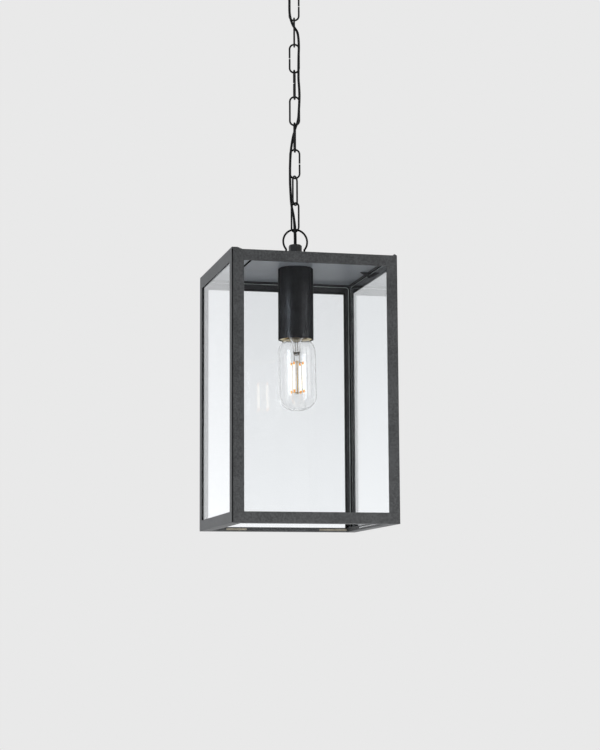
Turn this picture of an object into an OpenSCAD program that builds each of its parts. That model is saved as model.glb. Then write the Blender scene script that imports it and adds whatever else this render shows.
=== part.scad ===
// Square glass lantern that hangs from a ceiling rose on a nine-link chain, in millimetres.
// The origin is the centre of the ceiling face. +Z is up and the window with the cut corner faces -Y.

/* [Lantern body] */
// Outside width and depth of the square body.
body_w = 195; // [180:1:215]
// Height of the body from the top plate's top face to the open bottom.
body_h = 310; // [290:1:340]
// Width of the flat border round each window.
border = 12.8; // [10:0.1:15]
// Sheet thickness of the frames and the top plate.
sheet = 1.2; // [1:0.1:1.6]
// Thickness of the glass panes.
glass_t = 3; // [2.5:0.5:4]
// Thickness of the sealing tape between a pane and its frame.
tape_t = 0.3; // [0.2:0.1:0.4]

/* [Suspension] */
// Height from the ceiling to the top plate's top face.
drop = 390; // [388:0.5:392]
// Wire diameter of the chain links.
link_wire = 2.2; // [2:0.1:2.3]
// Outside width of a chain link.
link_w = 13.6; // [13:0.1:14.4]
// Diameter of the round flex that is threaded through the chain.
flex_d = 3; // [2.6:0.1:3.1]
// Radius of the hanging loop's wire centre line.
loop_r = 14.7; // [13.5:0.1:15.5]
// Diameter of the ceiling rose.
rose_d = 110; // [96:1:120]

/* [Lampholder and bulb] */
// Outside diameter of the lampholder's cover cup.
cup_d = 42; // [41:0.5:44]
// Length of the cover cup.
cup_h = 86; // [84:1:88]
// Diameter of the tubular bulb.
bulb_d = 45; // [43:0.5:48]

/* [Colours] */
// Powder-coated steel.
steel_col = "#3a3b3c";
// Black plastic and flex.
black_col = "#161617";
// Clear glass.
glass_col = "#cfe3ea";
// Brass.
brass_col = "#b08d4a";
// Zinc-plated steel.
zinc_col = "#9a9ea3";
// White porcelain.
white_col = "#e6e2d8";

/* [Hidden] */
$fn = 48;
top_z = -drop;
half = body_w / 2;
inner = half - sheet;
rail_top = border;
low_lip = 5;
pane_half = inner - 5.3;
seam = 1.4;
pane_top = 3.6;
pane_low = body_h - 2.2;
link_gap = 0.3;
link_r = (link_w - link_wire) / 2;
link_span = 35.3;
pitch = link_span - link_wire - link_gap;
first_link_z = 44;
twist = -14;
eye_wire = 4;
eye_r = 9;
eye_z = first_link_z + 8 * pitch + link_span - link_wire / 2 - eye_wire / 2 - link_gap + eye_r;
rose_h = 26;
bush_xy = [-19.6, 1.8];
bulb_lean = 1.2;
bulb_top = -62.6;
bulb_low = -172.6;
leg_x = 11.2;
loop_wire = 2.4;
loop_z = first_link_z + link_wire / 2 + loop_wire / 2 + link_gap - loop_r;

// ---- shared shapes ----

// A box from its low corner to its high corner.
module span(a, b) {
  translate(a)
    cube(b - a);
}

// Everything on the lantern is drawn with z = 0 at the top plate's top face.
module at_top() {
  translate([0, 0, top_z])
    children();
}

// A straight bar of round wire between two points.
module wire_bar(a, b, d) {
  v = b - a;
  len = norm(v);
  translate(a)
    rotate([0, acos(v.z / len), atan2(v.y, v.x)])
      cylinder(d = d, h = len);
}

// A hexagon prism with two flats facing along X.
module hex(af, h) {
  rotate([0, 0, 30])
    cylinder(d = af / cos(30), h = h, $fn = 6);
}

// ---- ceiling fitting, drawn from the ceiling face down ----

module ceiling_bracket() {
  color(zinc_col)
    difference() {
      union() {
        span([-40, -9, -1.5], [40, 9, 0]);
        span([-40, -9, -rose_h + 4], [-38.5, 9, -1.5]);
        span([38.5, -9, -rose_h + 4], [40, 9, -1.5]);
      }
      for (s = [-1, 1]) {
        translate([s * 27, 0, -2])
          cylinder(d = 4.5, h = 3);
        span([s * 27 - 3, -2.25, -2], [s * 27 + 3, 2.25, 1]);
        translate([s * 27 - 3, 0, -2])
          cylinder(d = 4.5, h = 3);
        translate([s * 27 + 3, 0, -2])
          cylinder(d = 4.5, h = 3);
      }
      translate([0, 0, -2])
        cylinder(d = 8, h = 3);
    }
}

module ceiling_rose() {
  color(steel_col)
    difference() {
      rotate_extrude($fn = 96)
        polygon([
          [0, -rose_h], [rose_d / 2 - 7, -rose_h], [rose_d / 2 - 2.5, -rose_h + 2],
          [rose_d / 2, -rose_h + 6.5], [rose_d / 2, -0.3], [rose_d / 2 - sheet, -0.3],
          [rose_d / 2 - sheet, -rose_h + 7], [rose_d / 2 - 3.3, -rose_h + 3],
          [rose_d / 2 - 7.3, -rose_h + sheet], [0, -rose_h + sheet]
        ]);
      translate([0, 0, -rose_h - 1])
        cylinder(d = 8, h = 4);
      translate(concat(bush_xy, -rose_h - 1))
        cylinder(d = 8, h = 4);
    }
}

module rose_ring_nut() {
  color(steel_col)
    translate([0, 0, -rose_h])
      difference() {
        union() {
          translate([0, 0, -5])
            cylinder(d = 16, h = 5);
          translate([0, 0, -6.5])
            cylinder(d1 = 12, d2 = 16, h = 1.5);
        }
        translate([0, 0, -8])
          cylinder(d = 8, h = 10);
      }
}

// A closed wire eye on a threaded shank that passes through the rose and the bracket's bridge.
module ceiling_eye() {
  color(steel_col)
    union() {
      translate([0, 0, top_z + eye_z])
        rotate([90, 0, 90 + twist])
          rotate_extrude($fn = 64)
            translate([eye_r, 0])
              circle(d = eye_wire);
      translate([0, 0, top_z + eye_z + eye_r])
        cylinder(d = 7.9, h = -4 - top_z - eye_z - eye_r);
    }
}

// The strap across the bracket's two legs that carries the eye.
module ceiling_bridge() {
  color(zinc_col)
    difference() {
      span([-38.5, -9, -rose_h + 4], [38.5, 9, -rose_h + 5.5]);
      translate([0, 0, -rose_h])
        cylinder(d = 8, h = 10);
      translate(concat(bush_xy, -rose_h))
        cylinder(d = 5, h = 10);
    }
}

// The nut that locks the eye's shank above the bridge.
module eye_nut() {
  color(zinc_col)
    difference() {
      translate([0, 0, -rose_h + 5.5])
        hex(13, 5);
      translate([0, 0, -rose_h])
        cylinder(d = 8, h = 14);
    }
}

module terminal_block() {
  color(white_col)
    difference() {
      span([-36, -6.5, -rose_h + 5.5], [-12, 6.5, -8]);
      for (i = [0:2])
        translate([-31 + i * 7, 0, -12])
          cylinder(d = 4.4, h = 10);
    }
}

module terminal_screws() {
  color(brass_col)
    for (i = [0:2])
      translate([-31 + i * 7, 0, -12])
        difference() {
          cylinder(d = 4, h = 2.4);
          span([-2.4, -0.4, 1.4], [2.4, 0.4, 3]);
        }
}

// Rubber bush where the flex enters the rose.
module flex_bush() {
  color(black_col)
    translate(concat(bush_xy, 0))
      difference() {
        union() {
          translate([0, 0, -rose_h - 2])
            cylinder(d = 12, h = 2);
          translate([0, 0, -rose_h])
            cylinder(d = 8, h = sheet);
        }
        translate([0, 0, -rose_h - 3])
          cylinder(d = flex_d, h = 6);
      }
}

module flex_tail() {
  color(black_col)
    translate(concat(bush_xy, -rose_h - 2))
      cylinder(d = flex_d, h = 7.5);
}

// ---- chain ----

function link_z(n) = first_link_z + (n - 1) * pitch;

// An oval wire link with an unwelded butt in one leg: az turns its plane from XZ.
module link(n, az, gap_side, butt = 1.2) {
  color(steel_col)
    at_top()
      translate([0, 0, link_z(n)])
        rotate([0, 0, az])
          union() {
            translate([0, 0, link_r])
              rotate([-90, 0, 0])
                rotate_extrude(angle = 180)
                  translate([link_r, 0])
                    circle(d = link_wire);
            translate([0, 0, link_span - link_r])
              rotate([90, 0, 0])
                rotate_extrude(angle = 180)
                  translate([link_r, 0])
                    circle(d = link_wire);
            translate([-gap_side * link_r, 0, link_r])
              cylinder(d = link_wire, h = link_span - 2 * link_r);
            translate([gap_side * link_r, 0, link_r])
              cylinder(d = link_wire, h = link_span / 2 - link_r - butt / 2);
            translate([gap_side * link_r, 0, link_span / 2 + butt / 2])
              cylinder(d = link_wire, h = link_span / 2 - link_r - butt / 2);
          }
}

module chain_link_9() { link(9, twist, 1); }
module chain_link_8() { link(8, 90 + twist, -1); }
module chain_link_7() { link(7, twist, -1); }
module chain_link_6() { link(6, 84.5 + twist, -1); }
module chain_link_5() { link(5, twist, 1, 0.3); }
module chain_link_4() { link(4, 84.5 + twist, -1, 0.3); }
module chain_link_3() { link(3, twist, 1); }
module chain_link_2() { link(2, 50, -1, 0.3); }
module chain_link_1() { link(1, 126, 1, 0.3); }

// ---- flex, along the chain ----

// Points of each stretch in the chain's own turned frame: along the odd links, through them, height.
run_9 = [[-19.5, -3, 362], [-16, -3, 355], [-9.5, -3, 347], [-6.3, -2.9, 338], [-5.6, -2.9, 331], [-5.6, -2.9, 324]];
run_8 = [[-5.6, -2.9, 324], [-5.4, -2.9, 315], [-4, -2.8, 307], [-1.6, -2.8, 300], [1.4, -2.8, 295], [3.6, -2.8, 291.3]];
run_7 = [[3.6, -2.8, 291.3], [4.8, -2.8, 286], [5.4, -2.9, 279], [5.6, -2.9, 272], [5.4, -2.9, 265], [5.2, -2.9, 258.4]];
run_6 = [[5.2, -2.9, 258.4], [5.1, -2.9, 251], [5, -2.9, 244], [5, -2.9, 238], [5, -2.8, 232], [5.4, -2.8, 225.6]];
run_5 = [[5.4, -2.8, 225.6], [5.8, -2.8, 219], [6, -2.9, 212], [5.9, -2.9, 206], [5.6, -2.9, 199], [5.2, -2.9, 192.8]];
run_4 = [[5.2, -2.9, 192.8], [4.7, -2.9, 185], [3.4, -2.9, 178], [1.2, -2.8, 172], [-0.4, -2.8, 166], [-2, -2.8, 160]];
run_3 = [[-2, -2.8, 160], [-3.4, -2.9, 152], [-4.4, -2.9, 145], [-5, -2.9, 139], [-5.4, -2.9, 133], [-5.6, -2.9, 127.2]];
run_2 = [[-5.6, -2.9, 127.2], [-5.8, -2.9, 120], [-5.8, -2.9, 113], [-5.8, -2.8, 107], [-5.7, -2.6, 101], [-5.4, -2.4, 94.4]];
run_1 = [[-5.4, -2.4, 94.4], [-5.1, -2.3, 88], [-4.7, -2.3, 81], [-3.9, -2.4, 74], [-2.6, -2.7, 67.5], [-1.6, -3, 61.6]];
run_0 = [[-1.6, -3, 61.6], [-0.9, -3.3, 55], [-0.4, -3.5, 49], [-0.2, -3.4, 43], [0, -2.2, 37], [0, -0.7, 32], [0, 0, 27.8]];

function unit(v) = v / norm(v);
function ring_dir(p, i) = i == 0 ? unit([0, 0, -1]) : i == len(p) - 1 ? unit([0, 0, -1]) : unit(p[i + 1] - p[i - 1]);
function ring(p, i, r, k) =
  let (d = ring_dir(p, i), a = unit(cross([0, 1, 0], d)), b = cross(d, a))
    [for (j = [0:k - 1]) p[i] + r * (cos(360 * j / k) * a + sin(360 * j / k) * b)];

// One closed tube swept along a list of points, level at both ends.
module tube(p, d) {
  k = 8;
  n = len(p);
  pts = [for (i = [0:n - 1]) for (q = ring(p, i, d / 2, k)) q];
  sides = [for (i = [0:n - 2]) for (j = [0:k - 1])
    [i * k + j, i * k + (j + 1) % k, (i + 1) * k + (j + 1) % k, (i + 1) * k + j]];
  first = [for (j = [0:k - 1]) k - 1 - j];
  last = [for (j = [0:k - 1]) (n - 1) * k + j];
  polyhedron(points = pts, faces = concat([first], sides, [last]));
}

module flex(p) {
  color(black_col)
    at_top()
      rotate([0, 0, twist])
        tube(p, flex_d);
}

module flex_9() { flex(run_9); }
module flex_8() { flex(run_8); }
module flex_7() { flex(run_7); }
module flex_6() { flex(run_6); }
module flex_5() { flex(run_5); }
module flex_4() { flex(run_4); }
module flex_3() { flex(run_3); }
module flex_2() { flex(run_2); }
module flex_1() { flex(run_1); }
module flex_0() { flex(run_0); }

// The last stretch, straight down through the gland and the nipple to the lampholder.
module flex_lamp_end() {
  color(black_col)
    at_top()
      translate([0, 0, -46])
        cylinder(d = flex_d, h = 46 + 27.8);
}

// ---- hanging loop and cable gland on the top plate ----

// Omega-shaped wire loop whose two legs pass down through the top plate.
module suspension_loop() {
  drop_a = acos(leg_x / loop_r);
  leg_z = loop_z - loop_r * sin(drop_a);
  color(steel_col)
    at_top()
      union() {
        translate([0, 0, loop_z])
          rotate([90, 0, 0])
            rotate([0, 0, -drop_a])
              rotate_extrude(angle = 180 + 2 * drop_a, $fn = 72)
                translate([loop_r, 0])
                  circle(d = loop_wire);
        for (s = [-1, 1]) {
          translate([s * leg_x, 0, leg_z])
            sphere(d = loop_wire * 1.03);
          translate([s * leg_x, 0, -8])
            cylinder(d = loop_wire, h = leg_z + 8);
        }
      }
}

module loop_nuts() {
  color(zinc_col)
    at_top()
      for (s = [-1, 1])
        for (z = [0, -sheet - 1.2 - 2.4])
          translate([s * leg_x, 0, z])
            difference() {
              hex(5.5, 2.4);
              translate([0, 0, -1])
                cylinder(d = loop_wire, h = 5);
            }
}

module gland_cap() {
  color(steel_col)
    at_top()
      difference() {
        intersection() {
          translate([0, 0, 9])
            hex(14.2, 18.8);
          union() {
            translate([0, 0, 9])
              cylinder(d = 16.6, h = 17.2);
            translate([0, 0, 26.2])
              cylinder(d1 = 16.6, d2 = 13.2, h = 1.6);
          }
        }
        translate([0, 0, 8])
          cylinder(d = 10.2, h = 15);
        translate([0, 0, 22])
          cylinder(d = flex_d + 1, h = 8);
      }
}

module gland_seal() {
  color(black_col)
    at_top()
      difference() {
        translate([0, 0, 18.2])
          cylinder(d = 10, h = 4.6);
        translate([0, 0, 17])
          cylinder(d = flex_d, h = 8);
      }
}

module gland_body() {
  color(steel_col)
    at_top()
      difference() {
        union() {
          hex(14.8, 8);
          cylinder(d = 10, h = 18);
        }
        translate([0, 0, -1])
          cylinder(d = 7, h = 20);
        translate([0, 0, -1])
          cylinder(d = 8, h = 6);
      }
}

module nipple_tube() {
  color(zinc_col)
    at_top()
      difference() {
        translate([0, 0, -42])
          cylinder(d = 8, h = 47);
        translate([0, 0, -43])
          cylinder(d = 5, h = 49);
      }
}

module nipple_locknut() {
  color(zinc_col)
    at_top()
      difference() {
        translate([0, 0, -5.9])
          hex(13, 3.5);
        translate([0, 0, -7])
          cylinder(d = 8, h = 8);
      }
}

// ---- body ----

module top_plate() {
  color(steel_col)
    at_top()
      difference() {
        span([-inner, -inner, -sheet], [inner, inner, 0]);
        translate([0, 0, -2])
          cylinder(d = 8, h = 3);
        for (s = [-1, 1])
          translate([s * leg_x, 0, -2])
            cylinder(d = loop_wire + 0.2, h = 3);
      }
}

// A window panel in the XZ plane, lying from y = -sheet to y = 0, with a bottom border of its own.
module window_panel(w, top, low) {
  difference() {
    span([-w, -sheet, -body_h], [w, 0, 0]);
    span([-half + border, -sheet - 1, -body_h + low], [half - border, 1, -top]);
  }
}

// The folded edges behind a panel: the top return and the bottom channel with its inner lip.
module panel_folds(side_half, web_half, lip_half) {
  span([-side_half, 0, -2 * sheet], [side_half, 6, -sheet]);
  span([-web_half, 0, -body_h], [web_half, border - sheet, -body_h + sheet]);
  span([-lip_half, border - 2 * sheet, -body_h + sheet], [lip_half, border - sheet, -body_h + low_lip]);
}

module front_frame() {
  color(steel_col)
    at_top()
      difference() {
        union() {
          translate([0, -inner, 0])
            window_panel(half, rail_top, border);
          translate([0, -inner, 0])
            panel_folds(inner - 6, half - border, half - border);
          span([-half + border - 1, -half, -body_h + 1], [-half + border + seam, -inner, -1]);
        }
        span([-half + 0.2, -half - 1, -body_h - 1], [-half + 0.2 + seam, -half + 0.7, 1]);
      }
}

module back_frame() {
  color(steel_col)
    at_top()
      rotate([0, 0, 180])
        union() {
          translate([0, -inner, 0])
            window_panel(half, rail_top, low_lip);
          translate([0, -inner, 0])
            panel_folds(inner - 6, half - border, half - border);
        }
}

// Side panels stand between the front and back ones.
module left_frame() {
  color(steel_col)
    at_top()
      union() {
        rotate([0, 0, -90]) {
          translate([0, -inner, 0])
            window_panel(inner, rail_top, border);
          translate([0, -inner, 0])
            panel_folds(inner, inner, half - border);
        }
        rotate([90, 0, 0])
          translate([0, 0, -half])
            linear_extrude(height = body_w)
              polygon([[-half, 0], [-half + border, 0], [-half + 7, 2.1], [-half, 2.1]]);
      }
}

module right_frame() {
  color(steel_col)
    at_top()
      difference() {
        union() {
          rotate([0, 0, 90]) {
            translate([0, -inner, 0])
              window_panel(inner, rail_top, border);
            translate([0, -inner, 0])
              panel_folds(inner, inner, half - border);
          }
          rotate([90, 0, 0])
            translate([0, 0, -half])
              linear_extrude(height = body_w)
                polygon([[half - 5.2, 0], [half, 0], [half - 2.8, 1.8]]);
        }
        span([half - border - 1, -52, -body_h + 1.6], [half - border + 2, 36, -body_h + 3.4]);
      }
}

// Triangular tabs under the side rails that keep the side panes against their panels.
module pane_tabs() {
  out = inner - tape_t - glass_t - 0.2;
  color(steel_col)
    at_top()
      for (s = [-1, 1])
        translate([0, 5, 0])
          rotate([90, 0, 0])
            linear_extrude(height = sheet)
              polygon([
                [s * out, -2 * sheet], [s * (inner - 6), -2 * sheet], [s * (inner - 6), -sheet],
                [s * (inner - 15), -sheet], [s * (inner - 14.6), -sheet - 0.8], [s * out, -8.4]
              ]);
}

// Small pan-head screws up through the side panels' top returns into the plate.
module plate_screws() {
  color(black_col)
    at_top()
      for (s = [-1, 1])
        for (y = [-70, 20, 70])
          translate([s * (inner - 3), y, -2 * sheet - 1])
            cylinder(d = 3.4, h = 1, $fn = 24);
}

// A pane with rounded corners, in the XZ plane, standing off its frame by the tape's thickness.
module pane() {
  translate([0, tape_t, 0])
    difference() {
      span([-pane_half, 0, -pane_low], [pane_half, glass_t, -pane_top]);
      for (s = [-1, 1])
        for (z = [-pane_top - 4, -pane_low + 4])
          translate([s * (pane_half - 4), -1, z])
            difference() {
              span([s > 0 ? 0 : -5, 0, z > -100 ? 0 : -5], [s > 0 ? 5 : 0, glass_t + 2, z > -100 ? 5 : 0]);
              translate([0, -1, 0])
                rotate([-90, 0, 0])
                  cylinder(r = 4, h = glass_t + 4, $fn = 32);
            }
    }
}

module glass_front() {
  color(glass_col)
    at_top()
      translate([0, -inner, 0])
        pane();
}

module glass_back() {
  color(glass_col)
    at_top()
      rotate([0, 0, 180])
        translate([0, -inner, 0])
          pane();
}

module glass_left() {
  color(glass_col)
    at_top()
      rotate([0, 0, -90])
        translate([0, -inner, 0])
          pane();
}

module glass_right() {
  color(glass_col)
    at_top()
      rotate([0, 0, 90])
        translate([0, -inner, 0])
          pane();
}

// Two strips on the back channel's inner lip that hold the back pane.
module pane_clips() {
  color(zinc_col)
    at_top() {
      span([-67, half - border - 0.6, -body_h + 1.2], [-42, half - border, -body_h + 3.6]);
      span([49, half - border - 0.6, -body_h + 1.2], [84, half - border, -body_h + 3.6]);
    }
}

// A spring strip across the front pane's upper left corner, behind the glass.
module corner_clip() {
  color(black_col)
    at_top()
      translate([-half + border - 2.4, -inner + tape_t + glass_t, -rail_top - 10.6])
        rotate([0, -42, 0])
          span([0, 0, -0.9], [17.5, 0.8, 0.9]);
}

// ---- lampholder ----

module lampholder_cup() {
  r = cup_d / 2;
  color(black_col)
    at_top()
      difference() {
        rotate_extrude($fn = 96)
          polygon([
            [0, -sheet], [r - 1, -sheet], [r, -sheet - 1], [r, -sheet - cup_h],
            [r - 1.2, -sheet - cup_h], [r - 1.2, -sheet - 1.2], [0, -sheet - 1.2]
          ]);
        translate([0, 0, -3])
          cylinder(d = 8, h = 3);
        for (s = [-1, 1])
          translate([s * leg_x, 0, -3])
            cylinder(d = loop_wire + 0.2, h = 3);
      }
}

module lampholder_body() {
  color(white_col)
    at_top()
      rotate_extrude($fn = 72)
        polygon([
          [4, -36], [9, -36], [16.5, -44], [18, -48], [18, -82], [19.4, -83.5], [19.4, -86.2],
          [16.4, -86.2], [15.4, -85], [14.6, -84.2],
          [14.6, -56], [3.2, -56], [3.2, -53.5], [13, -53.5], [13, -47.5], [8, -42], [4, -42]
        ]);
}

module screw_shell() {
  color(brass_col)
    at_top()
      difference() {
        translate([0, 0, -82])
          cylinder(r = 14.6, h = 26, $fn = 72);
        translate([0, 0, -83])
          cylinder(r = 14.15, h = 26.5, $fn = 72);
        translate([0, 0, -58])
          cylinder(r = 9, h = 4);
      }
}

module centre_contact() {
  color(brass_col)
    at_top()
      union() {
        translate([0, 0, -62.2])
          cylinder(d = 6, h = 6.2);
        translate([0, 0, -56])
          cylinder(d = 6.4, h = 4);
      }
}

// ---- bulb, leaning a little in its holder ----

module in_bulb() {
  at_top()
    translate([0, 0, bulb_top])
      rotate([0, -bulb_lean, 0])
        translate([0, 0, -bulb_top])
          children();
}

module bulb_cap() {
  color(brass_col)
    in_bulb()
      rotate_extrude($fn = 72)
        polygon([
          [4.8, -63.4], [6.5, -63.8], [12, -67], [12, -68], [13.2, -69], [12.4, -70.8], [13.2, -72.6],
          [12.4, -74.4], [13.2, -76.2], [12.4, -78], [13.2, -79.8], [12.9, -81], [13.2, -82],
          [13.2, -85.5], [12.6, -85.5], [12, -81], [11.4, -80], [11.4, -68], [6.2, -64.6], [4.8, -64.4]
        ]);
}

// Glass insulator of the cap with the tip contact in its middle.
module bulb_contact() {
  color(zinc_col)
    in_bulb()
      rotate_extrude($fn = 48)
        polygon([[0, -62.6], [2.6, -62.7], [3.4, -63.2], [4.8, -63.4], [4.8, -64.4], [0, -64.4]]);
}

// Outer wall from the neck to the closed end, then the inner wall back up.
function bulb_side(t) = [
  [12 - t, -81], [12.6 - t, -85.5], [13.3 - t, -86.4], [15.6 - t, -88.2], [18.2 - t, -90.8], [20.3 - t, -94],
  [21.7 - t, -97.8], [bulb_d / 2 - 0.1 - t, -101.5], [bulb_d / 2 - t, -106], [bulb_d / 2 - t, -154]
];
function bulb_end(t, n) = [for (i = [1:n])
  let (a = 90 * i / n) [(bulb_d / 2 - t) * pow(cos(a), 0.8), -154 - (-bulb_low - 154 - t) * sin(a)]];

module bulb_glass() {
  wall = 0.9;
  back = concat(bulb_side(wall), bulb_end(wall, 14));
  color(glass_col)
    in_bulb()
      rotate_extrude($fn = 96)
        polygon(concat(bulb_side(0), bulb_end(0, 14), [for (i = [len(back) - 1:-1:0]) back[i]]));
}

// Flared glass foot and the stem that carries the wires.
module bulb_stem() {
  color(glass_col)
    in_bulb()
      rotate_extrude($fn = 48)
        polygon([
          [0, -82], [10.9, -82], [9, -84.5], [5.6, -88.5], [4.6, -94], [4.4, -101], [3.9, -104],
          [2.2, -106], [1.6, -108], [1.6, -112], [0, -112]
        ]);
}

// The four filaments stand on a circle, a little wider at the bulb's closed end.
fil_az = [50:90:320];
fil_top = [7.9, 0, -115.8];
fil_low = [8.3, 0, -149];

// Wires that carry the four filaments: a centre rod, an upper spider and a lower cross.
module filament_frame() {
  color(brass_col)
    in_bulb()
      union() {
        translate([0, 0, -152])
          cylinder(d = 1.3, h = 40, $fn = 16);
        for (a = fil_az) {
          rotate([0, 0, a])
            wire_bar([0, 0, -113], fil_top + [0, 0, 0.4], 0.7);
          rotate([0, 0, a])
            wire_bar([0, 0, -151], fil_low - [0, 0, 0.4], 0.7);
        }
      }
}

// Four straight light-emitting filaments.
module filaments() {
  color("#ffcf7a")
    in_bulb()
      for (a = fil_az)
        rotate([0, 0, a])
          wire_bar(fil_top, fil_low, 1.8);
}

// ---- output ----

ceiling_bracket();
ceiling_rose();
rose_ring_nut();
ceiling_bridge();
ceiling_eye();
eye_nut();
terminal_block();
terminal_screws();
flex_bush();
flex_tail();
chain_link_9();
chain_link_8();
chain_link_7();
chain_link_6();
chain_link_5();
chain_link_4();
chain_link_3();
chain_link_2();
chain_link_1();
flex_9();
flex_8();
flex_7();
flex_6();
flex_5();
flex_4();
flex_3();
flex_2();
flex_1();
flex_0();
flex_lamp_end();
suspension_loop();
loop_nuts();
gland_cap();
gland_seal();
gland_body();
nipple_tube();
nipple_locknut();
top_plate();
front_frame();
back_frame();
left_frame();
right_frame();
pane_tabs();
plate_screws();
glass_front();
glass_back();
glass_left();
glass_right();
pane_clips();
corner_clip();
lampholder_cup();
lampholder_body();
screw_shell();
centre_contact();
bulb_cap();
bulb_contact();
bulb_glass();
bulb_stem();
filament_frame();
filaments();
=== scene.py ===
import math

import bmesh
import bpy
from mathutils import Matrix, Vector


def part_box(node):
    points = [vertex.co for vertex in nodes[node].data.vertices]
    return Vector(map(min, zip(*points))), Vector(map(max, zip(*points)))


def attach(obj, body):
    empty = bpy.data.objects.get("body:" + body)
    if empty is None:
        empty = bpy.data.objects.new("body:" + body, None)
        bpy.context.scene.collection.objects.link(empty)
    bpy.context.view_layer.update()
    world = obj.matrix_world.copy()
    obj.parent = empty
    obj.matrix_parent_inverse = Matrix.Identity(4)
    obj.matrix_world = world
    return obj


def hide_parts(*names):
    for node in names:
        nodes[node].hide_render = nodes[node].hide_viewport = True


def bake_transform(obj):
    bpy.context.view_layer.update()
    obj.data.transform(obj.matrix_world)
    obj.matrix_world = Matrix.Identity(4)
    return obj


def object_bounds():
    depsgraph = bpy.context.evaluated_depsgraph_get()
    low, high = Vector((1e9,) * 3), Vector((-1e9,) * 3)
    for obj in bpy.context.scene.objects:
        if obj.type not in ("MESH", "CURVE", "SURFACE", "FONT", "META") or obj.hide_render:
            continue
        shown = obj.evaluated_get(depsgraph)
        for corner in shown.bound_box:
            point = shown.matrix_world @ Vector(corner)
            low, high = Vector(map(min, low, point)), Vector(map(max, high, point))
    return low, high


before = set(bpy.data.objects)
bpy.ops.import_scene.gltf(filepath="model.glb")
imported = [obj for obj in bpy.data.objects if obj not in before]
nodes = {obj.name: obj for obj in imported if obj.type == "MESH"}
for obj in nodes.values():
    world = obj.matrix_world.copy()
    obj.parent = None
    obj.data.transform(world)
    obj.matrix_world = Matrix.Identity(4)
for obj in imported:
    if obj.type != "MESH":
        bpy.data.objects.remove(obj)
cad_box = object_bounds()
scene = bpy.context.scene

MM = 0.001
TOP_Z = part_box("top_plate")[1].z  # top face of the lantern's top plate
SRGB_LINEAR_TOP = 10  # the highest level on the straight part of the sRGB curve


def srgb(*levels):
    """Linear colour of levels from 0 to 255, as a picture shows them."""
    return tuple(((v / 255 + 0.055) / 1.055) ** 2.4 if v > SRGB_LINEAR_TOP else v / 255 / 12.92 for v in levels)


# ---- camera ----

CAMERA_LENS = 88.32                               # millimetres, on a sensor 36 mm wide
CAMERA_FROM_TOP = (-0.50752, -2.10177, -0.42238)  # metres from the middle of the plate's top face
CAMERA_TURN = (1.705598, 0.005252, -0.238488)     # radians


def make_camera():
    data = bpy.data.cameras.new("camera")
    data.sensor_width = 36.0
    data.lens = CAMERA_LENS
    data.clip_start = 0.05
    data.clip_end = 200.0
    camera = bpy.data.objects.new("camera", data)
    camera.location = Vector((0, 0, TOP_Z)) + Vector(CAMERA_FROM_TOP)
    camera.rotation_euler = CAMERA_TURN
    scene.collection.objects.link(camera)
    scene.camera = camera


make_camera()


# ---- mesh helpers ----

def new_piece(name, verts, faces):
    mesh = bpy.data.meshes.new(name)
    mesh.from_pydata([tuple(v) for v in verts], [], faces)
    mesh.validate()
    bm = bmesh.new()
    bm.from_mesh(mesh)
    bmesh.ops.recalc_face_normals(bm, faces=bm.faces)
    bm.to_mesh(mesh)
    bm.free()
    for face in mesh.polygons:
        face.use_smooth = True
    obj = bpy.data.objects.new(name, mesh)
    scene.collection.objects.link(obj)
    return obj


def round_angles(sides):
    return [2 * math.pi * k / sides for k in range(sides)]


def skin(name, groups, loop=False):
    """One piece of several skins, each over its own rings of points.

    With loop, a group's last ring joins its first; without it, each end is closed with one face.
    """
    verts, faces = [], []
    for rings in groups:
        first, sides, count = len(verts), len(rings[0]), len(rings)
        verts += [v for ring in rings for v in ring]
        for a in range(count if loop else count - 1):
            b = (a + 1) % count
            faces += [tuple(first + n for n in (a * sides + k, a * sides + (k + 1) % sides,
                                                b * sides + (k + 1) % sides, b * sides + k))
                      for k in range(sides)]
        if not loop:
            faces += [tuple(first + end * sides + k for k in range(sides)) for end in (0, count - 1)]
    return new_piece(name, verts, faces)


def catmull(points, steps, first=None, last=None):
    """Points of a smooth curve through the given ones, with the same number of steps between each two."""
    pts = [Vector(p) for p in points]
    pts = [Vector(first) if first else 2 * pts[0] - pts[1]] + pts
    pts.append(Vector(last) if last else 2 * pts[-1] - pts[-2])
    out = []
    for i in range(1, len(pts) - 2):
        a, b, c, d = pts[i - 1:i + 3]
        for k in range(steps):
            t = k / steps
            out.append(0.5 * (2 * b + (c - a) * t + (2 * a - 5 * b + 4 * c - d) * t * t
                              + (3 * b - a - 3 * c + d) * t ** 3))
    return out + [pts[-2]]


def sweep_rings(path, radius, sides):
    """One ring of points round each point of the path, turned as little as possible from ring to ring."""
    rings, across = [], Vector((1, 0, 0))
    for i, p in enumerate(path):
        along = (path[min(i + 1, len(path) - 1)] - path[max(i - 1, 0)]).normalized()
        across = (across - along * across.dot(along)).normalized()
        up = along.cross(across)
        size = radius(i) if callable(radius) else radius
        rings.append([p + size * (math.cos(a) * across + math.sin(a) * up) for a in round_angles(sides)])
    return rings


# ---- flex, along the chain ----

FLEX_TURN = Matrix.Rotation(math.radians(-14), 4, "Z")  # the chain's own turn about the upright axis
FLEX_RADIUS = 1.5 * MM
SLEEVE_WALL = 0.35 * MM  # the sleeve round the flex in its last stretch, down into the gland
SLEEVE_TAPER = 0.4       # share of that stretch over which the sleeve reaches its full wall
END_LIFT = 6 * MM        # how far above and below its ends the flex's curve still runs upright
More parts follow.
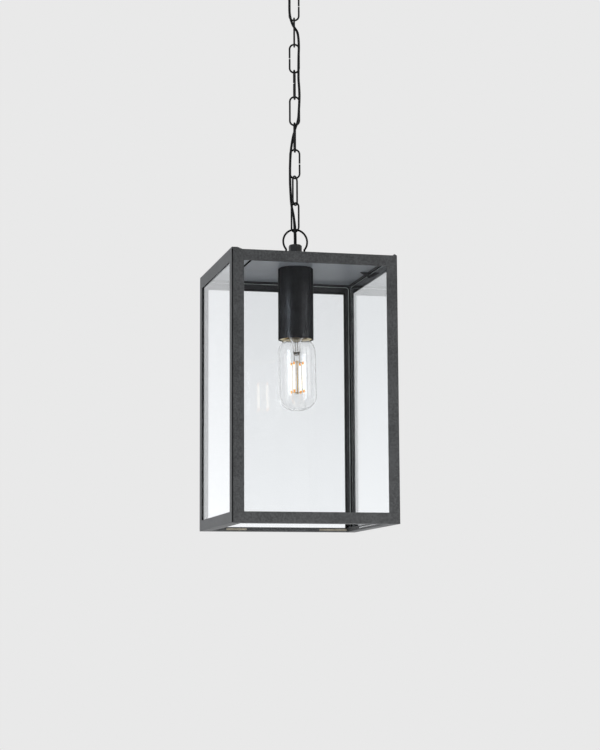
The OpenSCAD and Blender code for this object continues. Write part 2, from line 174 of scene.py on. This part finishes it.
# Points of each stretch in the chain's own turned frame, in millimetres from the top plate's top face.
FLEX_RUNS = [
    [[-19.5, -3, 362], [-16, -3, 355], [-9.5, -3, 347],
     [-6.3, -2.9, 338], [-5.6, -2.9, 331], [-5.6, -2.9, 324]],
    [[-5.6, -2.9, 324], [-5.4, -2.9, 315], [-4, -2.8, 307],
     [-1.6, -2.8, 300], [1.4, -2.8, 295], [3.6, -2.8, 291.3]],
    [[3.6, -2.8, 291.3], [4.8, -2.8, 286], [5.4, -2.9, 279],
     [5.6, -2.9, 272], [5.4, -2.9, 265], [5.2, -2.9, 258.4]],
    [[5.2, -2.9, 258.4], [5.1, -2.9, 251], [5, -2.9, 244],
     [5, -2.9, 238], [5, -2.8, 232], [5.4, -2.8, 225.6]],
    [[5.4, -2.8, 225.6], [5.8, -2.8, 219], [6, -2.9, 212],
     [5.9, -2.9, 206], [5.6, -2.9, 199], [5.2, -2.9, 192.8]],
    [[5.2, -2.9, 192.8], [4.7, -2.9, 185], [3.4, -2.9, 178],
     [1.2, -2.8, 172], [-0.4, -2.8, 166], [-2, -2.8, 160]],
    [[-2, -2.8, 160], [-3.4, -2.9, 152], [-4.4, -2.9, 145],
     [-5, -2.9, 139], [-5.4, -2.9, 133], [-5.6, -2.9, 127.2]],
    [[-5.6, -2.9, 127.2], [-5.8, -2.9, 120], [-5.8, -2.9, 113],
     [-5.8, -2.8, 107], [-5.7, -2.6, 101], [-5.4, -2.4, 94.4]],
    [[-5.4, -2.4, 94.4], [-5.1, -2.3, 88], [-4.7, -2.3, 81],
     [-3.9, -2.4, 74], [-2.6, -2.7, 67.5], [-1.6, -3, 61.6]],
    [[-1.6, -3, 61.6], [-0.9, -3.3, 55], [-0.4, -3.5, 49], [-0.2, -3.4, 43],
     [0, -2.2, 37], [0, -0.7, 32], [0, 0, 27.8]],
]


def make_flex(steps=6, sides=18):
    """The flex as one smooth curve, cut where one link's stretch gives way to the next.
    """
    route, cuts = [FLEX_RUNS[0][0]], [0]
    for run in FLEX_RUNS:
        route += run[1:]
        cuts.append(len(route) - 1)
    route = [Vector((0, 0, TOP_Z)) + FLEX_TURN @ Vector(p) * MM for p in route]
    lift = Vector((0, 0, END_LIFT))
    path = catmull(route, steps, first=route[0] + lift, last=route[-1] - lift)
    first_sleeved = cuts[-2] * steps
    sleeved = len(path) - 1 - first_sleeved

    def radius(i):
        """The flex's own radius, and a sleeve's on the way down into the gland."""
        share = min(1.0, max(0.0, (i - first_sleeved) / (SLEEVE_TAPER * sleeved)))
        return FLEX_RADIUS + SLEEVE_WALL * share * share * (3 - 2 * share)

    rings = sweep_rings(path, radius, sides)
    pieces = []
    for i in range(len(FLEX_RUNS)):
        a, b = cuts[i] * steps, cuts[i + 1] * steps
        obj = skin(f"flex_run_{9 - i}", [rings[a:b + 1]])
        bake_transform(obj)
        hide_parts(f"flex_{9 - i}")
        pieces.append(obj)
    return pieces


flex_pieces = make_flex()


# ---- materials ----

class Nodes:
    """The nodes of one material or world, added one call at a time."""

    def __init__(self, owner):
        owner.use_nodes = True
        self.nodes = owner.node_tree.nodes
        self.links = owner.node_tree.links
        self.nodes.clear()

    def add(self, kind, **settings):
        node = self.nodes.new(kind)
        for key, value in settings.items():
            setattr(node, key, value)
        return node

    def feed(self, socket, value):
        """Links an output to the socket, or sets a number on it, or a colour of three numbers."""
        if isinstance(value, bpy.types.NodeSocket):
            self.links.new(value, socket)
        else:
            socket.default_value = (*value, 1.0) if socket.type == "RGBA" else value

    def ramp(self, value, low, high, a=0.0, b=1.0, kind="SMOOTHSTEP"):
        """value mapped from low..high to a..b."""
        node = self.add("ShaderNodeMapRange", interpolation_type=kind)
        self.links.new(value, node.inputs["Value"])
        for key, number in (("From Min", low), ("From Max", high), ("To Min", a), ("To Max", b)):
            node.inputs[key].default_value = number
        return node.outputs[0]

    def math(self, kind, a, b):
        node = self.add("ShaderNodeMath", operation=kind)
        self.feed(node.inputs[0], a)
        self.feed(node.inputs[1], b)
        return node.outputs[0]

    def weigh(self, a, share, b):
        """a by its share and b by the rest."""
        return self.math("ADD", self.math("MULTIPLY", a, share), self.math("MULTIPLY", b, 1 - share))


class Tree(Nodes):
    """A material with one Principled shader."""

    def __init__(self, name):
        self.mat = bpy.data.materials.new(name)
        super().__init__(self.mat)
        self.out = self.add("ShaderNodeOutputMaterial")
        self.shader = self.add("ShaderNodeBsdfPrincipled")
        self.links.new(self.shader.outputs[0], self.out.inputs["Surface"])
        self.coord = self.add("ShaderNodeTexCoord").outputs["Object"]

    def set(self, **values):
        for key, value in values.items():
            self.feed(self.shader.inputs[key.replace("_", " ")], value)

    def noise(self, scale, detail=3.0, rough=0.55, stretch=None, offset=0.0):
        """Noise of that many cycles a metre; stretch scales each axis of it and offset moves it."""
        coord = self.coord
        if stretch or offset:
            place = self.add("ShaderNodeMapping")
            self.links.new(coord, place.inputs[0])
            place.inputs["Location"].default_value = (offset, offset * 0.7, -offset)
            place.inputs["Scale"].default_value = stretch or (1, 1, 1)
            coord = place.outputs[0]
        node = self.add("ShaderNodeTexNoise")
        self.links.new(coord, node.inputs["Vector"])
        for key, number in (("Scale", scale), ("Detail", detail), ("Roughness", rough)):
            node.inputs[key].default_value = number
        return node.outputs[0]

    def spots(self, scale):
        node = self.add("ShaderNodeTexVoronoi")
        self.links.new(self.coord, node.inputs["Vector"])
        node.inputs["Scale"].default_value = scale
        return node.outputs["Distance"]

    def blend(self, share, a, b):
        """Colour a where share is 0 and b where it is 1."""
        node = self.add("ShaderNodeMix", data_type="RGBA")
        self.feed(node.inputs["Factor"], share)
        self.feed(node.inputs[6], a)
        self.feed(node.inputs[7], b)
        return node.outputs[2]

    def bump(self, height, depth, strength, under=None):
        """Normals of a surface whose height varies by depth metres."""
        node = self.add("ShaderNodeBump")
        node.inputs["Distance"].default_value = depth
        node.inputs["Strength"].default_value = strength
        self.links.new(height, node.inputs["Height"])
        if under is not None:
            self.links.new(under, node.inputs["Normal"])
        return node.outputs[0]


COAT_GRAIN = (520, 4.0, 0.7)          # the powder coat's grain: cycles a metre, detail, roughness
LENGTHWISE_BRUSHING = (1, 1, 0.12)    # noise drawn out along the lampholder's tube
CROSSWISE_BRUSHING = (1, 1, 12)       # noise squeezed along the upright axis
ANODISED_TINT = (0.12, 0.12, 0.13)    # the tube's sheen at grazing angles
GLASS_IOR = 1.5


def powder_coat(name, dark, light, rough):
    """Fine-textured powder coat: a grainy, slightly sparkling skin over sheet metal."""
    t = Tree(name)
    grain = t.noise(*COAT_GRAIN)
    pebble = t.spots(620)
    cloud = t.noise(28, 3.0, 0.5, offset=3.1)
    mix = t.weigh(grain, 0.75, cloud)
    colour = t.blend(t.ramp(mix, 0.34, 0.66), dark, light)
    normal = t.bump(pebble, 0.12 * MM, 0.55)
    normal = t.bump(grain, 0.10 * MM, 0.7, under=normal)
    t.set(Base_Color=colour, Roughness=t.ramp(mix, 0.3, 0.7, rough - 0.08, rough + 0.1), Normal=normal)
    t.shader.inputs["Specular IOR Level"].default_value = 0.4
    return t.mat


def ceramic_painted_glow(name, dark, light, rough):
    """Cream glazed ceramic with a painted glow: it emits a little of its own colour, standing in for the light of
    the lit filaments beside it.
    """
    t = Tree(name)
    grain = t.noise(300, 4.0, 0.6)
    colour = t.blend(t.ramp(grain, 0.35, 0.68), dark, light)
    t.set(Base_Color=colour, Emission_Color=colour, Roughness=t.ramp(grain, 0.3, 0.7, rough - 0.05, rough + 0.08),
          Normal=t.bump(grain, 0.02 * MM, 0.6))
    # Painted glow: this emission stands in for the filaments' light falling on the ceramic.
    t.shader.inputs["Emission Strength"].default_value = 0.3
    return t.mat


def plate_coat_painted_underside(name, dark, light, painted_underside_dark, painted_underside_light):
    """The top plate: the panels' powder coat outside, and a paler colour on the underside, painted light for the
    light it catches from below.
    """
    t = Tree(name)
    grain = t.noise(*COAT_GRAIN)
    cloud = t.noise(22, 3.0, 0.5, offset=6.1)
    mix = t.weigh(grain, 0.45, cloud)
    share = t.ramp(mix, 0.34, 0.66)
    facing = t.add("ShaderNodeSeparateXYZ")
    t.links.new(t.add("ShaderNodeTexCoord").outputs["Normal"], facing.inputs[0])
    # Faces turned down take the paler colour: painted light from below.
    below = t.ramp(facing.outputs["Z"], -0.6, -0.4, 1.0, 0.0)
    t.set(Base_Color=t.blend(below, t.blend(share, dark, light), t.blend(share, painted_underside_dark, painted_underside_light)),
          Roughness=t.ramp(mix, 0.3, 0.7, 0.38, 0.54), Normal=t.bump(grain, 0.10 * MM, 0.6))
    return t.mat


def satin(name, dark, light, rough, grain_scale, depth, clearness=0.5):
    """Smooth satin paint, plastic or rubber with a faint mottle and a fine grain."""
    t = Tree(name)
    grain = t.noise(grain_scale, 4.0, 0.6)
    cloud = t.noise(60, 3.0, 0.5, offset=1.7)
    mix = t.weigh(grain, 0.5, cloud)
    colour = t.blend(t.ramp(mix, 0.32, 0.68), dark, light)
    t.set(Base_Color=colour, Roughness=t.ramp(mix, 0.3, 0.7, rough - 0.06, rough + 0.08),
          Normal=t.bump(grain, depth, 0.6))
    t.shader.inputs["Specular IOR Level"].default_value = clearness
    return t.mat


def metal(name, dark, light, rough):
    """Bare or plated metal with fine brushing and cloudy tarnish."""
    t = Tree(name)
    brush = t.noise(700, 4.0, 0.65, stretch=CROSSWISE_BRUSHING)
    cloud = t.noise(90, 4.0, 0.55, offset=5.3)
    mix = t.weigh(brush, 0.45, cloud)
    colour = t.blend(t.ramp(mix, 0.35, 0.65), dark, light)
    t.set(Base_Color=colour, Roughness=t.ramp(mix, 0.3, 0.7, rough + 0.1, rough - 0.05),
          Normal=t.bump(brush, 0.02 * MM, 0.5))
    t.shader.inputs["Metallic"].default_value = 1.0
    return t.mat


def dark_metal(name, dark, light, rough):
    """Black-anodised tube: a dull sheen along it, fading towards its edges, with fine lengthwise brushing."""
    t = Tree(name)
    brush = t.noise(1500, 4.0, 0.6, stretch=LENGTHWISE_BRUSHING)
    cloud = t.noise(70, 3.0, 0.5, offset=4.4)
    mix = t.weigh(brush, 0.6, cloud)
    t.set(Base_Color=t.blend(t.ramp(mix, 0.35, 0.65), dark, light),
          Roughness=t.ramp(mix, 0.3, 0.7, rough - 0.04, rough + 0.06), Normal=t.bump(brush, 0.02 * MM, 0.4))
    t.shader.inputs["Metallic"].default_value = 0.85
    t.shader.inputs["Specular Tint"].default_value = (*ANODISED_TINT, 1.0)
    return t.mat


def clear_glass(name, tint, wave_scale, wave_depth):
    """Clear glass with a very slight waviness."""
    t = Tree(name)
    wave = t.noise(wave_scale, 2.0, 0.4)
    faint = t.noise(260, 3.0, 0.5, offset=2.3)
    colour = t.blend(t.ramp(faint, 0.4, 0.75), tint, tuple(0.985 * c for c in tint))
    t.set(Base_Color=colour, Roughness=t.ramp(faint, 0.45, 0.8, 0.0, 0.012),
          Normal=t.bump(wave, wave_depth, 0.3))
    t.shader.inputs["Transmission Weight"].default_value = 1.0
    t.shader.inputs["IOR"].default_value = GLASS_IOR
    return t.mat


def glowing(name, colour, strength, thin):
    """A lit coating whose colour turns to thin where the grain leaves it thin."""
    t = Tree(name)
    grain = t.noise(2400, 2.0, 0.5)
    shade = t.blend(t.ramp(grain, 0.35, 0.7), colour, thin)
    t.set(Base_Color=shade, Emission_Color=shade)
    t.shader.inputs["Roughness"].default_value = 0.6
    t.shader.inputs["Emission Strength"].default_value = strength
    return t.mat


COAT_DARK, COAT_LIGHT = srgb(38, 39, 40), srgb(70, 71, 72)
MATERIALS = {
    "steel_black": powder_coat("powder_coat", COAT_DARK, COAT_LIGHT, 0.48),
    "chain_black": satin("chain_paint", srgb(6, 6, 7), srgb(14, 14, 15), 0.5, 900, 0.04 * MM, 0.2),
    "plastic_black": satin("black_nylon", srgb(12, 12, 13), srgb(26, 26, 27), 0.5, 500, 0.06 * MM, 0.3),
    "flex_black": satin("flex_jacket", srgb(6, 6, 7), srgb(13, 13, 14), 0.6, 1400, 0.04 * MM, 0.2),
    "cup_black": dark_metal("cup_anodised", srgb(46, 47, 49), srgb(62, 63, 66), 0.38),
    "zinc": metal("zinc_plate", srgb(150, 152, 156), srgb(190, 192, 196), 0.32),
    "brass": metal("brass", srgb(170, 138, 78), srgb(214, 182, 116), 0.28),
    # The ceramic's emission is a painted glow, not a lamp.
    "porcelain": ceramic_painted_glow("ceramic_painted_glow", srgb(214, 196, 150), srgb(236, 224, 188), 0.3),
    "terminal_white": satin("terminal_moulding", srgb(222, 218, 208), srgb(234, 231, 222), 0.4, 500, 0.02 * MM),
    "pane_glass": clear_glass("pane_glass", (0.985, 0.990, 0.990), 9, 0.04 * MM),
    "bulb_glass": clear_glass("bulb_glass", (0.99, 0.99, 0.99), 60, 0.02 * MM),
    "clip_steel": metal("clip_steel", srgb(128, 122, 110), srgb(170, 164, 150), 0.4),
    "filament": glowing("filament", (1.0, 0.90, 0.76), 1.9, (1.0, 0.78, 0.50)),
}
# Black for the beads and the strip of painted shade in the gaps round the panes and in the corner groove.
SHADE_BLACK = satin("painted_shade_black", srgb(11, 11, 12), srgb(21, 21, 22), 0.75, 1200, 0.05 * MM, 0.2)
GROUND_GLASS = satin("ground_glass", srgb(165, 172, 172), srgb(214, 221, 220), 0.6, 1500, 0.05 * MM, 0.5)
DARK_WIRE = metal("lead_wire", srgb(120, 104, 84), srgb(176, 156, 128), 0.4)
AMBER = glowing("amber_anchor", (0.86, 0.42, 0.12), 1.1, (0.62, 0.22, 0.05))

for piece in flex_pieces:
    piece.data.materials.append(MATERIALS["flex_black"])

for obj in nodes.values():
    for holder in obj.material_slots:
        holder.material = MATERIALS[holder.material.name.split(".")[0]]

# The underside's paler colours are painted light, standing in for the light that falls on it from below.
nodes["top_plate"].material_slots[0].material = plate_coat_painted_underside(
    "plate_coat_painted_underside", COAT_DARK, COAT_LIGHT, srgb(132, 137, 143), srgb(155, 160, 167))


# ---- frame edges, pane edges and dark beads of painted shade ----

# Millimetres.
BODY_HEIGHT = 310
BORDER = 12.8        # width of a panel's rails and stiles
BACK_LOW_RAIL = 5    # the back panel's bottom rail
TAPE_BACK = 1.6      # how far behind a window's edge its tape runs
GROUND_IN = 0.45     # how far inside a pane's rim its ground edge runs
RIM_SHADE_OUT = 1.0     # how far outside the rim the dark bead of painted shade runs
RIM_SHADE_LOW = 0.1     # and inside it at the pane's foot, where there's less room
# Each bead's width, depth and the radius of its path's corners.
TAPE_BEAD = (2.0, 0.26, 1.5)
GROUND_BEAD = (0.9, 0.12, 3.6)
RIM_SHADE_BEAD = (1.7, 1.6, 4.6)
# The corner's black strip of painted shade: its middle from the lantern's corner, half its width and depth, and
# its ends under the top face.
CORNER_SHADE_AT = (0.9, 0.62)
CORNER_SHADE_HALF = (0.66, 0.42)
CORNER_SHADE_ENDS = (0.6, 309.2)
CORNER_SHADE_STEPS = 62
CORNER_SHADE_SWELL = 0.03    # how much thicker and thinner it gets along its length


def soften_edges():
    """Rounds the folded sheet's sharp corners a little, as a powder coat does."""
    for name in ("front_frame", "back_frame", "left_frame", "right_frame", "top_plate"):
        obj = nodes[name]
        weld = obj.modifiers.new("weld", "WELD")
        weld.merge_threshold = 0.02 * MM
        bevel = obj.modifiers.new("edge", "BEVEL")
        bevel.width = 0.5 * MM
        bevel.segments = 3
        bevel.limit_method = "ANGLE"
        bevel.angle_limit = math.radians(40)
        obj.modifiers.new("shade", "WEIGHTED_NORMAL").keep_sharp = False


def bar_rings(half_width, top, low, y, bead, sides=8, steps=5):
    """A closed oval bead round a rectangle with rounded corners, in the plane at y: rings of points, one a step.

    top and low are measured up from the top plate's top face; bead is in millimetres.
    """
    wide, deep, corner = (v * MM for v in bead)
    path = []
    for cx, cz, start in ((half_width, top, 0), (-half_width, top, 90),
                          (-half_width, low, 180), (half_width, low, 270)):
        sx, sz = (1 if cx > 0 else -1), (1 if cz == top else -1)
        for k in range(steps + 1):
            a = math.radians(start + 90 * k / steps)
            path.append((cx - sx * corner + corner * math.cos(a), cz - sz * corner + corner * math.sin(a)))
    rings = []
    for i, (x, z) in enumerate(path):
        px, pz = path[i - 1]
        nx, nz = path[(i + 1) % len(path)]
        along = Vector((nx - px, nz - pz)).normalized()
        out = Vector((along.y, -along.x))
        rings.append([Vector((x + out.x * wide / 2 * math.cos(t), y + deep / 2 * math.sin(t),
                              z + TOP_Z + out.y * wide / 2 * math.cos(t)))
                      for t in round_angles(sides)])
    return rings


def spun(rings, turn):
    spin = Matrix.Rotation(math.radians(turn), 4, "Z")
    return [[spin @ v for v in ring] for ring in rings]


def make_shade_beads():
    """Black beads of painted shade behind each window's edge and along each pane's rim, where the gaps between
    frame, pane and plate fall dark; and the panes' ground edges.
    """
    inner_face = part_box("top_plate")[1].x
    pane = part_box("glass_front")
    pane_face = pane[1].y
    half_pane = pane[1].x
    pane_top, pane_low = pane[1].z - TOP_Z, pane[0].z - TOP_Z
    gap_y = -(inner_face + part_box("glass_right")[1].x) / 2
    window = cad_box[1].x - BORDER * MM
    tapes, grounds, rim_shade_rings = [], [], []
    for turn, low_rail in ((0, BORDER), (90, BORDER), (180, BACK_LOW_RAIL), (270, BORDER)):
        sight = bar_rings(window + TAPE_BACK * MM, (TAPE_BACK - BORDER) * MM,
                          -(BODY_HEIGHT - low_rail + TAPE_BACK) * MM, gap_y, TAPE_BEAD)
        tapes.append(spun(sight, turn))
        ground = bar_rings(half_pane - GROUND_IN * MM, pane_top - GROUND_IN * MM, pane_low + GROUND_IN * MM,
                           pane_face + 0.03 * MM, GROUND_BEAD)
        grounds.append(spun(ground, turn))
        rim = bar_rings(half_pane + RIM_SHADE_OUT * MM, pane_top + RIM_SHADE_OUT * MM, pane_low + RIM_SHADE_LOW * MM,
                        pane_face - 1.2 * MM, RIM_SHADE_BEAD)
        rim_shade_rings.append(spun(rim, turn))
    # The tape and the rim beads are black strips of painted shade for the dark gaps round the panes.
    for name, loops, look, slot in (("window_edge_shade_tape", tapes, SHADE_BLACK, "flex_black"),
                                    ("pane_rim_shade_bead", rim_shade_rings, SHADE_BLACK, "flex_black"),
                                    ("pane_ground_edges", grounds, GROUND_GLASS, "pane_glass")):
        obj = skin(name, loops, loop=True)
        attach(obj, "lantern")
        obj.data.materials.append(look)


def make_corner_shade_strip():
    """A soft black strip in the groove down the front panel's left edge: painted shade that darkens the groove."""
    x0, y0 = cad_box[0].x + CORNER_SHADE_AT[0] * MM, cad_box[0].y + CORNER_SHADE_AT[1] * MM
    top, low = (TOP_Z - depth * MM for depth in CORNER_SHADE_ENDS)
    rings = []
    for i in range(CORNER_SHADE_STEPS + 1):
        z = top + (low - top) * i / CORNER_SHADE_STEPS
        swell = CORNER_SHADE_SWELL * MM * math.sin(1.7 * i)
        half_x, half_y = (half * MM + swell for half in CORNER_SHADE_HALF)
        rings.append([Vector((x0 + half_x * math.cos(t), y0 + half_y * math.sin(t), z)) for t in round_angles(10)])
    # Painted shade: a dark strip where the seam between front and left panel falls into shadow.
    obj = skin("corner_shade_strip", [rings])
    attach(obj, "lantern")
    obj.data.materials.append(SHADE_BLACK)


soften_edges()
make_shade_beads()
make_corner_shade_strip()


# ---- bulb: stem, lead wires and filament anchors ----

BULB_LEAN = Matrix.Rotation(math.radians(-1.2), 4, "Y")
BULB_TOP = -62.6  # height of the bulb's own origin, in millimetres from the plate's top face
# All below is in millimetres in the bulb's own frame, with heights from the plate's top face.
STEM_PROFILE = [  # radius and height, down the outside and back up the inside
    (10.9, -82), (9.2, -84.6), (6.6, -88.2), (5.1, -91.5), (4.7, -96), (4.6, -101), (4.5, -102.8),
    (3.6, -103.4), (3.5, -101.6), (3.5, -96), (3.8, -91.8), (5.4, -87.6), (8.4, -83.4), (9.9, -82),
]
STEM_FLATTENED = 0.35       # share of its thickness that the stem's tube loses towards the press
STEM_FLAT_FROM = 99.5       # the depth where that starts
STEM_FLAT_OVER = 4.0        # and over which it grows
PRESS = [                   # height, half width and half thickness of the pinched end
    (-101.2, 2.4, 1.2), (-102.2, 3.6, 1.4), (-103.4, 4.0, 1.3),
    (-104.6, 3.9, 1.2), (-105.6, 3.2, 1.0), (-106.2, 1.6, 0.5),
]
CROSS_WIRE = [
    (-3.9, -0.4, -104.2), (-2.4, -0.5, -105.1), (-0.9, -0.4, -104.1),
    (0.8, -0.5, -105.2), (2.4, -0.4, -104.1), (3.9, -0.5, -105.0),
]
LEAD_RADIUS, CROSS_RADIUS = 0.3, 0.34
WIRE_STEPS, WIRE_SIDES = 5, 8
ANCHORS = ((7.9, -115.8, 1), (8.3, -149, -1))  # distance from the bulb's axis, height, and which way it points
ANCHOR_PROFILE = ((-1.8, 0.95), (-1.5, 1.15), (0.2, 1.15), (1.2, 0.8), (1.9, 0.35))  # height and radius
ANCHOR_SIDES = 12
ANCHOR_TURNS = range(50, 321, 90)  # degrees round the axis, one for each filament


def in_bulb(points):
    """Points in millimetres in the bulb's own frame, moved to where the bulb hangs."""
    base = Vector((0, 0, TOP_Z + BULB_TOP * MM))
    back = Vector((0, 0, -BULB_TOP * MM))
    return [base + BULB_LEAN @ (Vector(p) * MM + back) for p in points]


def lead_points(s):
    """A lead wire's way down one side of the stem, through the press and out to its filaments; s is 1 or -1."""
    return [(s * 1.5, 0, -84), (s * 1.5, 0.2, -92), (s * 1.6, 0, -100), (s * 2.6, 0, -103),
            (s * 1.2, 0.3, -104.4), (s * 3.2, 0, -105.4), (s * 3.4, s * 1.8, -108.5),
            (s * 4.2, s * 4.6, -112), (s * 4.8, s * 5.8, -114.4)]


def make_stem(sides=56, press_sides=24):
    """Flared glass tube with a pinched end, and the fine lead wires sealed through the pinch."""
    turned = [in_bulb([(r * math.cos(a), r * math.sin(a), z) for r, z in STEM_PROFILE])
              for a in round_angles(sides)]
    tube = skin("bulb_stem_tube", [turned], loop=True)
    for v in tube.data.vertices:
        depth = (TOP_Z - v.co.z) / MM
        v.co.y *= 1 - STEM_FLATTENED * min(1.0, max(0.0, (depth - STEM_FLAT_FROM) / STEM_FLAT_OVER))
    press = [in_bulb([(wide * math.cos(t), thick * math.sin(t), z + 0.25 * math.cos(2 * t))
                      for t in round_angles(press_sides)]) for z, wide, thick in PRESS]
    pinch = skin("bulb_stem_press", [press])
    wires = skin("bulb_lead_wires", [
        sweep_rings(catmull(in_bulb(points), WIRE_STEPS), radius * MM, WIRE_SIDES)
        for points, radius in ((lead_points(-1), LEAD_RADIUS), (lead_points(1), LEAD_RADIUS),
                               (CROSS_WIRE, CROSS_RADIUS))])
    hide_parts("bulb_stem")
    for obj, look, slot in ((tube, MATERIALS["bulb_glass"], "bulb_glass"),
                            (pinch, MATERIALS["bulb_glass"], "bulb_glass"),
                            (wires, DARK_WIRE, "clip_steel")):
        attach(obj, "bulb")
        obj.data.materials.append(look)


def make_filament_caps():
    """Small amber anchors at both ends of each filament."""
    groups = []
    for turn in ANCHOR_TURNS:
        spin = Matrix.Rotation(math.radians(turn), 4, "Z")
        for r, z, way in ANCHORS:
            groups.append([in_bulb([spin @ Vector((r + w * math.cos(t), w * math.sin(t), z + way * h))
                                    for t in round_angles(ANCHOR_SIDES)]) for h, w in ANCHOR_PROFILE])
    obj = skin("filament_anchors", groups)
    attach(obj, "bulb")
    obj.data.materials.append(AMBER)


make_stem()
make_filament_caps()


# ---- stage and light ----

WORLD_BLUE = (0.962, 0.978, 1.0)
# The sky's brightness by height, from straight down at 0 to straight up at 1.
SKY_STOPS = ((0.0, 0.95), (0.47, 1.12), (0.53, 1.04), (0.60, 0.86), (0.75, 0.75), (1.0, 0.9))
FRONT_LEVEL = 0.14                # how bright the studio is behind the camera, against 1 behind the lantern
FRONT_TO_BACK = (-0.55, 0.45)     # where along Y the one turns into the other
BACKGROUND = srgb(233, 233, 233)  # what the camera sees straight behind the lantern
# The studio's five soft lights in the world: direction, the cosines at its rim and its core, strength and tint.
SOFTBOXES = (
    ((-0.84, -0.50, 0.17), 0.94, 0.99, 5.0, (0.88, 0.94, 1.0)),
    ((0.74, -0.64, 0.17), 0.86, 0.97, 2.2, (1.0, 0.99, 0.97)),
    ((-0.75, 0.25, -0.60), 0.80, 0.95, 0.4, (0.90, 0.95, 1.0)),
    ((0.20, 0.90, -0.36), 0.80, 0.97, 0.5, (0.95, 0.98, 1.0)),
    ((0.0, 0.1, -1.0), 0.70, 0.95, 1.6, (0.95, 0.98, 1.0)),
)
FLOOR_Z, FLOOR_RADIUS, FLOOR_GLOW = -3.4, 24, 0.28
LAMP_AT, LAMP_AIM = Vector((0.35, -0.95, -1.25)), Vector((0, -0.1, -0.6))
LAMP_SIZE, LAMP_POWER = (0.6, 0.4), 8.0  # metres and watts


def make_world():
    """Pale backdrop all round, and a studio for what is lit or mirrored.

    The studio is bright behind and below and dim behind the camera.
    """
    world = bpy.data.worlds.new("studio")
    t = Nodes(world)

    def light(colour, strength):
        made = t.add("ShaderNodeBackground")
        t.feed(made.inputs["Color"], colour)
        t.feed(made.inputs["Strength"], strength)
        return made.outputs[0]

    def join(kind, *values):
        """Links the values to the node's sockets in their order; a mix takes its share first."""
        made = t.add(kind)
        for value, socket in zip(values, made.inputs):
            t.links.new(value, socket)
        return made.outputs[0]

    way = t.add("ShaderNodeTexCoord").outputs["Generated"]
    split = t.add("ShaderNodeSeparateXYZ")
    t.links.new(way, split.inputs[0])
    sky = t.add("ShaderNodeValToRGB")
    t.links.new(t.ramp(split.outputs["Z"], -1.0, 1.0, kind="LINEAR"), sky.inputs[0])
    elements = sky.color_ramp.elements
    while len(elements) < len(SKY_STOPS):
        elements.new(0.5)
    for element, (at, value) in zip(elements, SKY_STOPS):
        element.position = at
        element.color = (*(c * value for c in WORLD_BLUE), 1.0)
    backdrop = light(sky.outputs[0], 1.0)
    studio = light(sky.outputs[0], t.ramp(split.outputs["Y"], *FRONT_TO_BACK, FRONT_LEVEL, 1.0))
    for aim, rim, core, strength, tint in SOFTBOXES:
        dot = t.add("ShaderNodeVectorMath", operation="DOT_PRODUCT")
        t.links.new(way, dot.inputs[0])
        dot.inputs[1].default_value = Vector(aim).normalized()
        glow = light(tint, t.ramp(dot.outputs["Value"], rim, core, 0.0, strength))
        studio = join("ShaderNodeAddShader", studio, glow)
    path = t.add("ShaderNodeLightPath")
    lit = t.math("ADD", path.outputs["Diffuse Depth"], path.outputs["Glossy Depth"])
    through = t.math("MULTIPLY", path.outputs["Is Transmission Ray"], t.math("LESS_THAN", lit, 0.5))
    shown = join("ShaderNodeMixShader", through, studio, backdrop)
    shown = join("ShaderNodeMixShader", path.outputs["Is Camera Ray"], shown, light(BACKGROUND, 1.0))
    out = t.add("ShaderNodeOutputWorld")
    t.links.new(shown, out.inputs["Surface"])
    scene.world = world


def make_floor():
    bpy.ops.mesh.primitive_circle_add(
        vertices=128, radius=FLOOR_RADIUS, fill_type="NGON", location=(0, 0, FLOOR_Z))
    floor = bpy.context.object
    floor.name = "floor"
    t = Tree("floor_paper")
    cloud = t.noise(0.4, 3.0, 0.5)
    colour = t.blend(cloud, srgb(236, 236, 236), srgb(240, 240, 240))
    t.set(Base_Color=colour, Emission_Color=colour)
    t.shader.inputs["Emission Strength"].default_value = FLOOR_GLOW
    t.shader.inputs["Roughness"].default_value = 0.9
    t.shader.inputs["Specular IOR Level"].default_value = 0.1
    floor.data.materials.append(t.mat)


def make_lamp():
    """A soft lamp low in front, out of sight itself and through the glass."""
    data = bpy.data.lights.new("low_front", "AREA")
    data.shape = "RECTANGLE"
    data.size, data.size_y = LAMP_SIZE
    data.energy = LAMP_POWER
    lamp = bpy.data.objects.new("low_front", data)
    lamp.location = LAMP_AT
    lamp.rotation_euler = (LAMP_AIM - LAMP_AT).to_track_quat("-Z", "Y").to_euler()
    lamp.visible_camera = False
    lamp.visible_transmission = False
    scene.collection.objects.link(lamp)


make_world()
make_floor()
make_lamp()

scene.view_settings.view_transform = "Standard"
